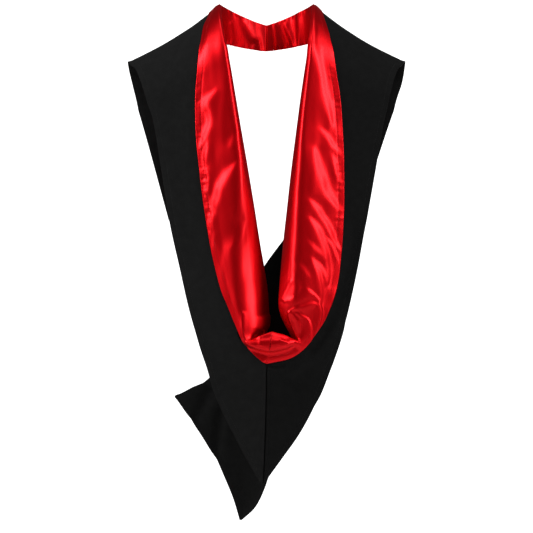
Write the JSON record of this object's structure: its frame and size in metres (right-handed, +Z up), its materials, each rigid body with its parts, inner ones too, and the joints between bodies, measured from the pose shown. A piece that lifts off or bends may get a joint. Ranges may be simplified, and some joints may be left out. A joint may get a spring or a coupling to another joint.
{
  "type": "academic hood",
  "caption": "Long draped academic hood: black cape and cowl with a glossy red satin facing turned out round the neck opening, a satin neckband and a hanging pointed tail.",
  "frame": {"origin": "middle of the neck opening, level with the two neck points that the hood hangs from when it is worn", "axes": "+Z up, +Y the way the wearer faces, +X to the wearer's right as worn; the tip of the liripipe is the lowest point and hangs behind the wearer, towards -Y"},
  "size_m": [0.501, 0.2216, 0.9246],
  "materials": {
    "black_cloth": "matt black woollen-look cloth",
    "red_satin": "glossy red satin"
  },
  "bodies": {
    "root": {"shell_left": "black_cloth", "shell_right": "black_cloth", "facing_left": "red_satin", "facing_right": "red_satin", "neckband_left": "red_satin", "neckband_right": "red_satin", "liripipe": "black_cloth"}
  },
  "joints": []
}
